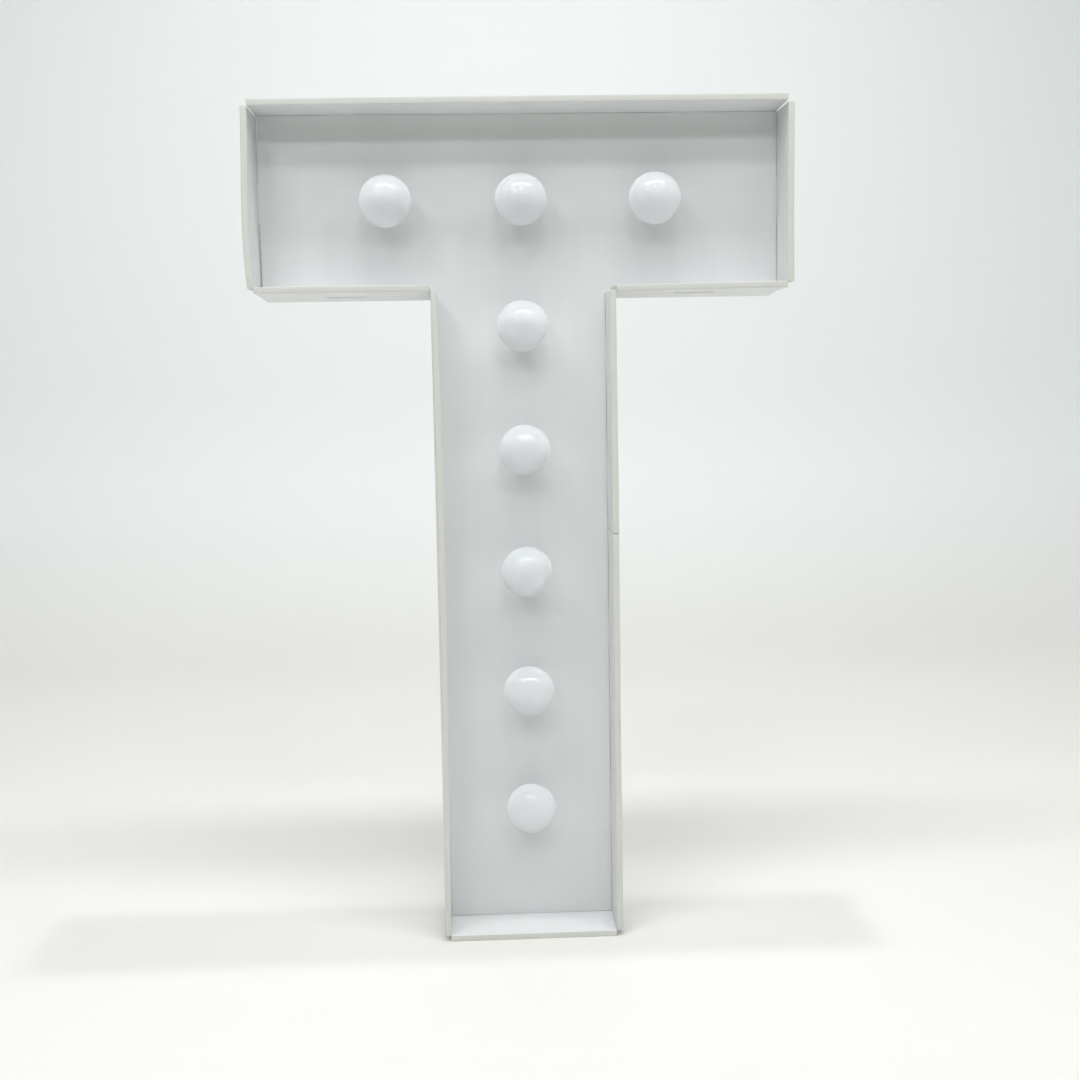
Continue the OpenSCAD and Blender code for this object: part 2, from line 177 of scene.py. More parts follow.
class LetterSettings(bpy.types.PropertyGroup):
    """All settings of the letter's finish."""

    board: PointerProperty(type=BoardSettings)
    lamp: PointerProperty(type=LampSettings)
    wire: PointerProperty(type=WireSettings)
    stage: PointerProperty(type=StageSettings)


# ---- shapes ----


def rounded(points, radii, steps=4, closed=False):
    """Outline with its corners eased: each corner becomes the quadratic curve from a point set back
    by its radius, with the corner as control, to the point as far on the other side."""
    p = np.asarray(points, float)
    r = np.broadcast_to(np.asarray(radii, float), len(p))[:, None]
    back, ahead = np.roll(p, 1, 0) - p, np.roll(p, -1, 0) - p
    to_back = np.linalg.norm(back, axis=1, keepdims=True)
    to_ahead = np.linalg.norm(ahead, axis=1, keepdims=True)
    start = p + back / np.maximum(to_back, 1e-9) * np.minimum(r, to_back * 0.49)
    end = p + ahead / np.maximum(to_ahead, 1e-9) * np.minimum(r, to_ahead * 0.49)
    s = np.linspace(0, 1, steps + 1)[None, :, None]
    curve = (1 - s) ** 2 * start[:, None] + 2 * s * (1 - s) * p[:, None] + s ** 2 * end[:, None]
    if closed:
        return curve.reshape(-1, 2)
    return np.concatenate([p[:1], curve[1:-1].reshape(-1, 2), p[-1:]])


def loop_quads(rings, count, wrap=False):
    """Quads between successive rings of a closed loop of count points, and from the last ring to
    the first if wrapped."""
    i = np.arange(rings if wrap else rings - 1)[:, None]
    j = np.arange(count)[None, :]
    a, b = i * count, (i + 1) % rings * count
    k = (j + 1) % count
    return np.stack(np.broadcast_arrays(a + j, a + k, b + k, b + j), -1).reshape(-1, 4)


def turned(profile, segments, centre, shape=None):
    """A profile of (radius, height over the panel) turned round a lamp's axis: x = cx + r cos a,
    y = panel - height, z = cz + r sin a. A profile that starts and ends at radius 0 closes in
    poles, and any other is a ring. shape(r, h, a) may change the radius round the turn."""
    profile = np.asarray(profile, float)
    polar = abs(profile[0, 0]) < 1e-9 and abs(profile[-1, 0]) < 1e-9
    body = profile[1:-1] if polar else profile
    a = np.linspace(0, 2 * np.pi, segments, endpoint=False)[None, :]
    r, h = body[:, :1] + 0 * a, body[:, 1:] + 0 * a
    if shape is not None:
        r = shape(r, h, a)
    cx, cz = centre
    verts = np.stack([cx + r * np.cos(a), PANEL_FRONT - h, cz + r * np.sin(a)], -1).reshape(-1, 3)
    faces = loop_quads(len(body), segments, wrap=not polar).tolist()
    if polar:
        poles = [[cx, PANEL_FRONT - height, cz] for height in profile[[0, -1], 1]]
        j = np.arange(segments)
        k = (j + 1) % segments
        first, last = len(verts), len(verts) + 1
        base = (len(body) - 1) * segments
        faces += np.stack([j * 0 + first, k, j], -1).tolist()
        faces += np.stack([j * 0 + last, base + j, base + k], -1).tolist()
        verts = np.concatenate([verts, poles])
    return verts, faces


def carried(section, path, wide):
    """A closed section of (across, up) carried along a path: each ring is the path's point plus
    across times the unit vector wide and up times the cross product of the path's direction
    with it."""
    path = np.asarray(path, float)
    along = np.gradient(path, axis=0)
    along /= np.linalg.norm(along, axis=1, keepdims=True)
    up = np.cross(along, wide)
    across = section[None, :, :1] * np.asarray(wide)
    verts = path[:, None] + across + section[None, :, 1:] * up[:, None]
    count, rings = len(section), len(path)
    faces = loop_quads(rings, count).tolist()
    faces += [list(range(count)), list(range((rings - 1) * count, rings * count))]
    return verts.reshape(-1, 3), faces


def merge(parts):
    """Several (points, faces) as one, with the faces' numbers moved on."""
    verts, faces, start = [], [], 0
    for v, f in parts:
        verts.append(v)
        faces += [[i + start for i in face] for face in f]
        start += len(v)
    return np.concatenate(verts), faces


def piece(name, verts, faces, body, nodes, slot, material, sharp=40.0):
    """A closed mesh as a named piece on a body, in place of its CAD nodes, with its faces turned
    outwards and edges over sharp degrees kept hard."""
    mesh = bpy.data.meshes.new(name)
    mesh.from_pydata(np.asarray(verts).tolist(), [], [list(f) for f in faces])
    work = bmesh.new()
    work.from_mesh(mesh)
    bmesh.ops.recalc_face_normals(work, faces=work.faces)
    work.to_mesh(mesh)
    work.free()
    mesh.polygons.foreach_set("use_smooth", np.ones(len(mesh.polygons), bool))
    mesh.set_sharp_from_angle(angle=math.radians(sharp))
    mesh.materials.append(material)
    obj = bpy.data.objects.new(name, mesh)
    bpy.context.scene.collection.objects.link(obj)
    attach(obj, body)
    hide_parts(*nodes)
    return obj


WELD_DISTANCE = 1e-6
EASE_ANGLE = math.radians(35)


def dress(node, material, width=0.0003):
    """A CAD node that keeps its shape: a better material, welded facets and eased edges."""
    obj = NODES[node]
    obj.data.materials.clear()
    obj.data.materials.append(material)
    weld = obj.modifiers.new("Weld", "WELD")
    weld.merge_threshold = WELD_DISTANCE
    if width:
        ease = obj.modifiers.new("Eased edges", "BEVEL")
        ease.width = width
        ease.segments = 2
        ease.limit_method = "ANGLE"
        ease.angle_limit = EASE_ANGLE
        ease.harden_normals = True


# ---- finishes ----


class Tree:
    """Short calls for the nodes of a material or of the world."""

    def __init__(self, tree):
        self.nodes, self.links = tree.nodes, tree.links
        self.place = self.put("TexCoord").outputs

    def put(self, kind, inputs=None, **settings):
        """A node of a kind, with its settings and its inputs, which are values or other sockets."""
        node = self.nodes.new("ShaderNode" + kind)
        for key, value in settings.items():
            setattr(node, key, value)
        for key, value in (inputs or {}).items():
            if isinstance(value, bpy.types.NodeSocket):
                self.links.new(value, node.inputs[key])
            else:
                node.inputs[key].default_value = value
        return node

    def noise(self, scale, detail=3.0, stretch=(1, 1, 1)):
        """Noise over the object's own coordinates, in cells per metre, drawn out by stretch."""
        spread = self.put("Mapping", {"Vector": self.place["Object"], "Scale": stretch}).outputs
        cells = {"Vector": spread["Vector"], "Scale": scale, "Detail": detail}
        return self.put("TexNoise", cells).outputs["Fac"]

    def ramp(self, value, low, high, start=0.0, end=1.0):
        """A value from low to high mapped to start to end, and held beyond."""
        span = {"Value": value, "From Min": low, "From Max": high, "To Min": start, "To Max": end}
        return self.put("MapRange", span).outputs["Result"]

    def math(self, operation, a, b=0.0):
        """One step of arithmetic on two values, or on the first alone where it needs no second."""
        return self.put("Math", {0: a, 1: b}, operation=operation).outputs["Value"]

    def mix(self, factor, a, b):
        """Colour a where factor is 0 and b where it is 1."""
        return self.put("Mix", {0: factor, 6: a, 7: b}, data_type="RGBA").outputs[2]

    def bump(self, height, strength, distance, under=None):
        """A normal bent by a height, on top of another bump's normal if one is given."""
        inputs = {"Height": height, "Strength": strength, "Distance": distance}
        if under is not None:
            inputs["Normal"] = under
        return self.put("Bump", inputs).outputs["Normal"]


class Finish(Tree):
    """A material with a Principled shader, whose constants are given by name."""

    def __init__(self, name, **constants):
        self.material = bpy.data.materials.new(name)
        self.material.use_nodes = True
        super().__init__(self.material.node_tree)
        self.shader = self.nodes["Principled BSDF"]
        for socket, value in constants.items():
            self.shader.inputs[socket.replace("_", " ")].default_value = value

    def to(self, socket, value):
        """Links a value to an input of the shader."""
        self.links.new(value, self.shader.inputs[socket])


def rgba(colour, level=1.0):
    """A colour times a level, with full alpha."""
    return (*[c * level for c in colour], 1.0)


def board_finish(name, board, cut_from):
    """Foamed board: a smooth, faintly mottled satin skin, and cream cut edges with open pores.
    cut_from is "cut" where the mesh says which points are on a cut edge, or "side" on the panel,
    whose cut edges are all that doesn't face the front or back."""
    f = Finish(name, IOR=1.45)
    if cut_from == "cut":
        cut = f.put("Attribute", attribute_name="cut").outputs["Fac"]
    else:
        flat = f.put("SeparateXYZ", {0: f.place["Normal"]}).outputs["Y"]
        cut = f.ramp(f.math("ABSOLUTE", flat), 0.75, 0.35)
    cloud = f.noise(3.2, 4.0)
    streak = f.noise(9.0, 2.0, stretch=(5, 5, 0.35))
    speck = f.ramp(f.noise(210.0, 2.0), 0.70, 0.76)
    face, cream = board.face_colour, board.edge_colour
    skin = f.mix(f.ramp(cloud, 0.3, 0.7), rgba(face, 0.965), rgba(face, 1.02))
    skin = f.mix(f.ramp(streak, 0.35, 0.75, 0.0, 0.35), skin, rgba(face, 0.94))
    skin = f.mix(f.math("MULTIPLY", speck, 0.22), skin, rgba(cream, 0.72))
    pores = f.noise(1500.0, 2.0)
    saw = f.noise(300.0, 3.0, stretch=(1, 0.12, 1))
    edge = f.mix(f.ramp(pores, 0.35, 0.75), rgba(cream), rgba(cream, 0.86))
    edge = f.mix(f.ramp(saw, 0.45, 0.8, 0.0, 0.5), edge, rgba(cream, 0.9))
    f.to("Base Color", f.mix(cut, skin, edge))
    satin = f.ramp(cloud, 0.25, 0.75, 0.40, 0.50)
    f.to("Roughness", f.put("Mix", {0: cut, 2: satin, 3: 0.72}, data_type="FLOAT").outputs[0])
    wavy = f.bump(f.noise(5.0, 1.0), 0.35, 0.004)
    skin_bump = f.bump(f.noise(420.0, 3.0), 0.10, 0.0004, wavy)
    cut_height = f.math("MULTIPLY", f.math("ADD", pores, saw), cut)
    f.to("Normal", f.bump(cut_height, 0.35, 0.0005, skin_bump))
    return f.material


def globe_finish(lamp):
    """Milky plastic: part of the light goes through the cloudy wall and comes out all round, the
    rim looks hazy, and a clear gloss lies over it. The cloudiness varies faintly."""
    f = Finish(
        "milky_globe", IOR=1.12, Transmission_Weight=0.72, Sheen_Weight=1.0, Sheen_Roughness=0.7,
        Coat_Weight=1.0, Coat_Roughness=0.02)
    cloud = f.ramp(f.noise(22.0, 3.0), 0.3, 0.7)
    f.to("Base Color", f.mix(cloud, rgba(lamp.globe_colour, 0.98), rgba(lamp.globe_colour)))
    f.to("Roughness", f.ramp(f.noise(60.0, 4.0), 0.3, 0.75, 0.9, 0.95))
    f.to("Normal", f.bump(f.noise(45.0, 2.0), 0.03, 0.0012))
    return f.material


def plastic_finish(name, colour, low=0.36, high=0.5, grain=2600.0, strength=0.16):
    """Moulded plastic: a fine spark grain, faint flow marks and a slightly uneven sheen."""
    f = Finish(name, IOR=1.5)
    flow = f.noise(48.0, 3.0, stretch=(1, 1, 0.4))
    f.to("Base Color", f.mix(f.ramp(flow, 0.3, 0.75), rgba(colour, 1.03), rgba(colour, 0.94)))
    f.to("Roughness", f.ramp(f.noise(120.0, 3.0), 0.3, 0.7, low, high))
    f.to("Normal", f.bump(f.noise(grain, 2.0), strength, 0.00015, f.bump(flow, 0.08, 0.0006)))
    return f.material


def metal_finish(name, colour):
    """Nickelled strip with fine rolling lines and dulled patches."""
    f = Finish(name, Metallic=1.0)
    lines = f.noise(900.0, 3.0, stretch=(1, 0.06, 1))
    patch = f.noise(160.0, 3.0)
    f.to("Base Color", f.mix(f.ramp(patch, 0.35, 0.75), rgba(colour), rgba(colour, 0.82)))
    f.to("Roughness", f.ramp(lines, 0.3, 0.7, 0.24, 0.40))
    f.to("Normal", f.bump(lines, 0.12, 0.0001))
    return f.material


CELL_FILM, CELL_BAND, CELL_SCUFF = (0.55, 0.57, 0.60), (0.16, 0.22, 0.27), (0.68, 0.69, 0.70)
CELL_BAND_HALF = 0.011


def cell_finish():
    """Cell sleeve: a satin metallic film with a plain darker band, and scuffs along it."""
    f = Finish("cell_sleeve", Metallic=0.6)
    low, high = node_box("cells")
    height = f.put("SeparateXYZ", {0: f.place["Object"]}).outputs["Z"]
    from_middle = f.math("ABSOLUTE", f.math("SUBTRACT", height, (low[2] + high[2]) / 2))
    band = f.math("LESS_THAN", from_middle, CELL_BAND_HALF)
    scuff = f.noise(300.0, 4.0, stretch=(1, 1, 0.2))
    film = f.mix(band, rgba(CELL_FILM), rgba(CELL_BAND))
    f.to("Base Color", f.mix(f.ramp(scuff, 0.55, 0.8, 0.0, 0.4), film, rgba(CELL_SCUFF)))
    f.to("Roughness", f.ramp(scuff, 0.3, 0.7, 0.25, 0.42))
    f.to("Normal", f.bump(scuff, 0.06, 0.0002))
    return f.material


def foam_finish():
    """Closed foam of the stick-on pads, with open cells at its cut sides, each cell painted darker
    towards its pit as shade.
    """
    f = Finish("foam_pad", Roughness=0.9)
    voronoi = f.put("TexVoronoi", {"Vector": f.place["Object"], "Scale": 1400.0})
    cells = voronoi.outputs["Distance"]
    painted_pit_shade, light = rgba((0.62, 0.62, 0.60)), rgba((0.82, 0.82, 0.80))
    # Painted shade: each cell is darker towards its pit, where the same distance lowers the bump.
    f.to("Base Color", f.mix(f.ramp(cells, 0.1, 0.6), painted_pit_shade, light))
    f.to("Normal", f.bump(cells, 0.5, 0.0003))
    return f.material


def room_grey(level):
    """Grey of the room, a trace cooler than neutral."""
    return (level * 0.985, level, level * 1.01)


HORIZON_LEVEL = 0.62
# The floor fades into the horizon past this far to the sides and in front of this depth, over this
# reach.
FADE_SIDE, FADE_FRONT, FADE_REACH = 2.0, -1.1, 2.2
FLOOR_MOTTLE = (0.7, 0.7, 0.7)


def floor_finish(stage):
    """Plain pale floor, warm, that turns into a cooler backdrop, with the faintest unevenness. Far
    to the sides and far in front the camera sees it fade into the pale horizon, which lights
    nothing."""
    f = Finish("studio_sweep", Roughness=0.75)
    at = f.put("SeparateXYZ", {0: f.place["Object"]}).outputs
    paint = f.mix(f.ramp(at["Z"], 0.0, 0.5), rgba(stage.floor_colour), rgba(stage.backdrop_colour))
    uneven = f.ramp(f.noise(1.3, 3.0), 0.3, 0.7, 0.0, 0.02)
    f.to("Base Color", f.mix(uneven, paint, rgba(FLOOR_MOTTLE)))
    aside = f.math("SUBTRACT", f.math("ABSOLUTE", at["X"]), FADE_SIDE)
    away = f.math("MAXIMUM", aside, f.math("SUBTRACT", FADE_FRONT, at["Y"]))
    seen = f.put("LightPath").outputs["Is Camera Ray"]
    fade = f.math("MULTIPLY", f.ramp(away, 0.0, FADE_REACH), seen)
    pale = rgba(room_grey(HORIZON_LEVEL), stage.sky_level)
    horizon = f.put("Emission", {"Color": pale}).outputs["Emission"]
    blend = f.put("MixShader", {0: fade, 1: f.shader.outputs["BSDF"], 2: horizon}).outputs["Shader"]
    f.links.new(blend, f.nodes["Material Output"].inputs["Surface"])
    return f.material


# ---- walls ----

# Lines along a wall in front of its slots and behind them, and steps of a rounded edge.
FRONT_LINES, BACK_LINES, EDGE_STEPS = 9, 6, 3
QUARTER = np.linspace(0, np.pi / 2, EDGE_STEPS + 1)
# Distance between a wall's sections, and how its lean grows towards the front.
SECTION_SPACING, LEAN_POWER = 0.02, 1.3
# How far the sides of a rounded edge look cut, and from which share of the rounding an end does.
HALF_CUT, END_CUT = 0.35, 0.3


def wall_section(front, back, thick, board):
    """Closed section of a wall: lines along the outer face, two quarter circles round the back
    edge, lines along the inner face and two quarter circles round the front edge. Gives each
    point's depth, its distance from the inner face and how far it lies on a cut edge."""
    e = board.edge_round
    lines = np.concatenate([
        np.linspace(front + e, PANEL_FRONT - board.slot_gap, FRONT_LINES),
        np.linspace(PANEL_BACK, back - e, BACK_LINES)])
    sin, cos = np.sin(QUARTER), np.cos(QUARTER)
    depth = np.concatenate([
        lines, back - e + e * sin[1:], back - e + e * cos[:-1],
        lines[::-1], front + e - e * sin[1:], front + e - e * cos[:-1]])
    face, edge = np.zeros(len(lines)), np.ones(2 * EDGE_STEPS)
    edge[[0, -1]] = HALF_CUT
    out = np.concatenate([
        face + thick, thick - e + e * cos[1:], e - e * sin[:-1],
        face, e - e * cos[1:], thick - e + e * sin[:-1]])
    return depth, out, np.concatenate([face, edge, face, edge])


def wall_mesh(node, outward, tabs, lean, board):
    """A board strip as a rounded section of (depth, thickness) carried along its length, drawn in
    at both ends by a quarter circle, with a through slot for each tab. What lies in front of the
    panel leans by whole + slope * s + (bow + skew * s) * (1 - s * s), for s from -1 to 1, times its
    share of the tray's depth to LEAN_POWER, and what lies behind the panel's front leans evenly
    towards the back edge. Gives points, faces and which points lie on a cut edge."""
    low, high = node_box(node)
    size = high - low
    axis = 0 if size[0] > size[2] else 2
    thin = 2 - axis
    length, thick, e = size[axis], size[thin], board.edge_round
    front, back = low[1], high[1]
    loop_y, loop_n, loop_cut = wall_section(front, back, thick, board)
    half_slot = board.tab_length / 2 + board.tab_gap
    centres = length * ((np.arange(tabs) + 0.5) / tabs - 0.5)
    ends = length / 2 - e + e * np.sin(QUARTER)
    sections = max(4, int(length / SECTION_SPACING))
    s = np.unique(np.round(np.concatenate([
        ends, -ends, centres - half_slot, centres + half_slot,
        np.linspace(e - length / 2, length / 2 - e, sections)]), 6))
    into = np.clip(np.abs(s) - (length / 2 - e), 0, e)
    inset = (e - np.sqrt(np.maximum(e * e - into ** 2, 0)))[:, None]
    y = np.clip(loop_y[None], front + inset, back - inset)
    n = np.clip(loop_n[None], inset, thick - inset)
    cut = np.maximum(loop_cut[None], (inset > END_CUT * e) * 1.0) + 0 * y
    share = np.clip((PANEL_FRONT - y) / (PANEL_FRONT - front), 0, 1) ** LEAN_POWER
    along = (2 * s / length)[:, None]
    whole, slope, bow, skew, at_back = lean
    n = n + share * (whole + slope * along + (bow + skew * along) * (1 - along ** 2))
    n = n + at_back * np.clip((y - PANEL_FRONT) / (back - PANEL_FRONT), 0, 1)
    verts = np.zeros((*y.shape, 3))
    verts[..., axis] = (low[axis] + high[axis]) / 2 + s[:, None]
    verts[..., 1] = y
    inner = low[thin] if outward > 0 else high[thin]
    verts[..., thin] = inner + outward * n

    rings, around = y.shape
    lines = FRONT_LINES + BACK_LINES
    front_out, back_out = FRONT_LINES - 1, FRONT_LINES
    back_in = lines + 2 * EDGE_STEPS + BACK_LINES - 1
    front_in = back_in + 1
    middle = (s[:-1] + s[1:]) / 2
    in_slot = (np.abs(middle[:, None] - centres[None]) < half_slot).any(1)
    keep = np.ones((rings - 1, around), bool)
    keep[in_slot, front_out] = False
    keep[in_slot, back_in] = False
    faces = loop_quads(rings, around).reshape(rings - 1, around, 4)[keep].tolist()

    def at(ring, point):
        """Number of a point of a ring."""
        return ring * around + point

    r = np.flatnonzero(in_slot)
    for a, b in ((front_out, front_in), (back_out, back_in)):
        faces += np.stack([at(r, a), at(r + 1, a), at(r + 1, b), at(r, b)], -1).tolist()
    edge = np.flatnonzero(np.diff(np.concatenate([[0], in_slot.astype(int), [0]])))
    corners = (front_out, back_out, back_in, front_in)
    faces += np.stack([at(edge, point) for point in corners], -1).tolist()
    faces += [list(range(around)), list(range((rings - 1) * around, rings * around))]
    return verts.reshape(-1, 3), faces, cut.ravel()


class LETTER_OT_walls(bpy.types.Operator):
    """Wall strips of cut board with eased edges, slots and a slight lean."""

    bl_idname = "letter.walls"
    bl_label = "Board walls"

    def execute(self, context):
        board = context.scene.letter.board
        finish = board_finish("board_wall", board, "cut")
        for node, outward, tabs, lean in WALLS:
            verts, faces, cut = wall_mesh(node, outward, tabs, lean, board)
            obj = piece(node + "_board", verts, faces, LETTER, [node], "board", finish)
            obj.data.attributes.new("cut", "FLOAT", "POINT").data.foreach_set("value", cut)
        return {"FINISHED"}


class LETTER_OT_panel(bpy.types.Operator):
    """Skin and cut edges of the panel that carries the lamps."""

    bl_idname = "letter.panel"
    bl_label = "Panel"

    def execute(self, context):
        dress("face_panel", board_finish("board_panel", context.scene.letter.board, "side"), 0)
        return {"FINISHED"}


# ---- lamps ----

# A globe's collar reaches this far past the neck, is this high, and stands this far over the
# socket.
COLLAR_REACH, COLLAR_HEIGHT, SHOULDER_GAP = 0.002, 0.003, 0.0003
COLLAR_ROUND, RIM_ROUND, RIM_HEIGHT = 0.0005, 0.0004, 0.004
# The thread starts this far over the neck's foot, and its groove this far over the foot and under
# the shoulder.
THREAD_START, GROOVE_START, GROOVE_END = 0.0008, 0.001, 0.0005
THREAD_PITCH, THREAD_DEPTH, THREAD_FADE = 0.003, 0.0007, 0.001
BALL_STEPS, THREAD_STEPS, HOLLOW_STEPS = 64, 40, 48
# A socket's clearance round the neck, the wall of its barrel, and the top and foot of the seat of
# its light board.
NECK_GAP, BARREL_WALL, SEAT_TOP, SEAT_FOOT = 0.00015, 0.0025, -0.0095, -0.0125
FLANGE_SLOPE, FLANGE_RIM = 0.0006, 0.0012
# A clamp ring's clearance round the barrel, and its notches: circles set a little outside the rim.
RING_GAP, RING_SEGMENTS = 0.0003, 240
NOTCHES, NOTCH_RADIUS, NOTCH_OFFSET, NOTCH_FOOT, NOTCH_FADE = 12, 0.003, 0.001, 0.0015, 0.002


class LETTER_OT_globes(bpy.types.Operator):
    """Milky globes: a hollow ball, a shoulder and a threaded neck turned from one profile."""

    bl_idname = "letter.globes"
    bl_label = "Globes"

    def execute(self, context):
        lamp = context.scene.letter.lamp
        finish = globe_finish(lamp)
        radius, neck, wall = GLOBE_RADIUS, lamp.neck_radius, lamp.wall
        inside, collar_radius, bore = radius - wall, neck + COLLAR_REACH, neck - wall
        foot = PANEL_FRONT - node_box("globe_1")[1][1]
        shoulder = PANEL_FRONT - node_box("socket_1")[0][1] + SHOULDER_GAP
        a = np.linspace(0, math.pi - math.asin(collar_radius / radius), BALL_STEPS)[1:]
        ball = np.stack([radius * np.sin(a), lamp.rise + radius * np.cos(a)], -1)
        collar = rounded([
            ball[-1], (collar_radius, shoulder + COLLAR_HEIGHT), (collar_radius, shoulder),
            (neck, shoulder)], COLLAR_ROUND)[1:]
        heights = np.linspace(shoulder, foot + THREAD_START, THREAD_STEPS + 2)[1:-1]
        thread = np.stack([np.full(THREAD_STEPS, neck), heights], -1)
        rim = rounded([
            thread[-1], (neck, foot), (bore, foot), (bore, foot + RIM_HEIGHT)], RIM_ROUND)[1:]
        b = np.linspace(math.pi - math.asin(bore / inside), 0, HOLLOW_STEPS)[:-1]
        hollow = np.stack([inside * np.sin(b), lamp.rise + inside * np.cos(b)], -1)
        top, inside_top = [[0, lamp.rise + radius]], [[0, lamp.rise + inside]]
        profile = np.concatenate([top, ball, collar, thread, rim, hollow, inside_top])
        start = len(ball) + len(collar)
        on_thread = np.zeros(len(profile) - 2, bool)
        on_thread[start:start + len(thread)] = True

        def screw(r, h, angle):
            """Groove of the thread: half a sine that climbs one pitch a turn and fades at both
            ends."""
            phase = (h / THREAD_PITCH + angle / (2 * np.pi)) % 1.0
            groove = np.maximum(np.sin(2 * np.pi * phase), 0) * THREAD_DEPTH
            over_foot = np.clip((h - foot - GROOVE_START) / THREAD_FADE, 0, 1)
            under_shoulder = np.clip((shoulder - GROOVE_END - h) / THREAD_FADE, 0, 1)
            return r - np.where(on_thread[:, None], groove * (over_foot * under_shoulder), 0)

        for k, centre in enumerate(LAMPS, 1):
            verts, faces = turned(profile, lamp.segments, centre, screw)
            body, nodes = f"lamp_globe_{k}", [f"globe_{k}"]
            piece(f"milky_globe_{k}", verts, faces, body, nodes, "globe", finish)
        return {"FINISHED"}


class LETTER_OT_sockets(bpy.types.Operator):
    """Sockets with an eased flange, clamp rings with finger notches, end caps and light boards."""

    bl_idname = "letter.sockets"
    bl_label = "Sockets"

    def execute(self, context):
        lamp = context.scene.letter.lamp
        finish = plastic_finish("socket_plastic", lamp.socket_colour)
        low, high = node_box("socket_1")
        flange_top, barrel_end = PANEL_FRONT - low[1], PANEL_FRONT - high[1]
        mouth, flange = lamp.neck_radius + NECK_GAP, FLANGE_RADIUS
        barrel = mouth + BARREL_WALL
        profile = rounded([
            (0, SEAT_TOP), (mouth, SEAT_TOP), (mouth, flange_top),
            (flange - FLANGE_SLOPE, flange_top), (flange, FLANGE_RIM), (flange, 0), (barrel, 0),
            (barrel, barrel_end), (mouth, barrel_end), (mouth, SEAT_FOOT), (0, SEAT_FOOT)],
            [0, 0.0004, 0.0006, 0.0014, 0.001, 0.0003, 0.0004, 0.0006, 0.0003, 0.0004, 0], 5)
        for k, centre in enumerate(LAMPS, 1):
            verts, faces = turned(profile, lamp.segments, centre)
            piece(f"lamp_socket_{k}", verts, faces, LETTER, [f"socket_{k}"], "socket", finish)
        ring_low, ring_high = node_box("clamp_rings")
        near, far = PANEL_FRONT - ring_low[1], PANEL_FRONT - ring_high[1]
        outer, inner = lamp.ring_radius, barrel + RING_GAP
        section = rounded(
            [(inner, near), (outer, near), (outer, far), (inner, far)],
            [0.0004, 0.0005, 0.0012, 0.0005], closed=True)

        def notches(r, h, a):
            """Finger notches: each the arc of a circle set outside the rim, shallower inwards."""
            step = math.radians(360 / NOTCHES)
            d = outer * (a % step - step / 2)
            arc = np.sqrt(np.maximum(NOTCH_RADIUS ** 2 - d ** 2, 0))
            depth = np.maximum(arc - NOTCH_OFFSET, 0)
            return r - depth * np.clip((r - inner - NOTCH_FOOT) / NOTCH_FADE, 0, 1)

        rings = [turned(section, RING_SEGMENTS, centre, notches) for centre in LAMPS]
        piece("finger_rings", *merge(rings), LETTER, ["clamp_rings"], "socket", finish, 30)
        dress("socket_end_caps", finish, 0.0005)
        board = plastic_finish("light_board_face", (0.82, 0.83, 0.80), 0.3, 0.4)
        dress("light_boards", board, 0.0002)
        dress("light_emitters", plastic_finish("phosphor", (0.85, 0.70, 0.22), 0.2, 0.3), 0)
        dress("lead_wires", plastic_finish("lead_sheath", context.scene.letter.wire.colour), 0)
        return {"FINISHED"}


# ---- wiring ----

# The twin wire's section: how flat it is, how deep its waist is, how far its fullest part reaches,
# and its sides.
WIRE_FLATNESS, WIRE_WAIST, WIRE_FULLNESS, WIRE_SIDES = 0.7, 0.45, 0.70, 32
# The feed wire runs straight for this far at both ends of its bend.
FEED_LEAD = 0.002


class LETTER_OT_wiring(bpy.types.Operator):
    """Twin wire from lamp to lamp, dipping to its clips, and the feed from the battery case."""

    bl_idname = "letter.wiring"
    bl_label = "Wiring"

    def execute(self, context):
        wire = context.scene.letter.wire
        finish = plastic_finish("wire_sheath", wire.colour, 0.40, 0.52, 1800.0, 0.1)
        a = np.linspace(0, 2 * np.pi, WIRE_SIDES, endpoint=False)
        waist = 1 - WIRE_WAIST * np.sin(a) ** 6
        up = WIRE_FLATNESS * wire.core * np.sin(a) * waist
        section = np.stack([wire.core * np.cos(a), up], -1)
        half_thick = WIRE_FLATNESS * wire.core * WIRE_FULLNESS
        runs = sorted(n for n in NODES if n.startswith("wire_") and n != "wire_clips")
        t = np.linspace(0, 1, wire.rings)
        dip = (1 - np.cos(2 * np.pi * t)) / 2
        for node in runs:
            low, high = node_box(node)
            axis = 0 if high[0] - low[0] > high[2] - low[2] else 2
            top, bottom = high[1] - half_thick, low[1] + half_thick
            path = np.zeros((wire.rings, 3))
            path[:] = (low + high) / 2
            path[:, axis] = low[axis] + (high[axis] - low[axis]) * t
            path[:, 1] = top - (top - bottom) * dip
            wide = (0, 0, 1) if axis == 0 else (1, 0, 0)
            name = node.replace("wire", "twin_wire")
            piece(name, *carried(section, path, wide), LETTER, [node], "wire", finish)
        low, high = node_box("feed_wire")
        level = (low[1] + high[1]) / 2
        bend_x, bend_z = low[0] + FEED_LEAD, low[2] + FEED_LEAD
        radius_x, radius_z = high[0] - half_thick - bend_x, high[2] - half_thick - bend_z
        turn = np.linspace(0, np.pi / 2, wire.rings)
        bend = np.full((wire.rings, 3), level)
        bend[:, 0] = bend_x + radius_x * np.cos(turn)
        bend[:, 2] = bend_z + radius_z * np.sin(turn)
        path = np.concatenate([[[bend[0, 0], level, low[2]]], bend, [[low[0], level, bend[-1, 2]]]])
        feed = carried(section, path, (0, 1, 0))
        piece("twin_wire_feed", *feed, LETTER, ["feed_wire"], "wire", finish)
        dress("wire_clips", plastic_finish("clip_plastic", context.scene.letter.lamp.socket_colour))
        return {"FINISHED"}


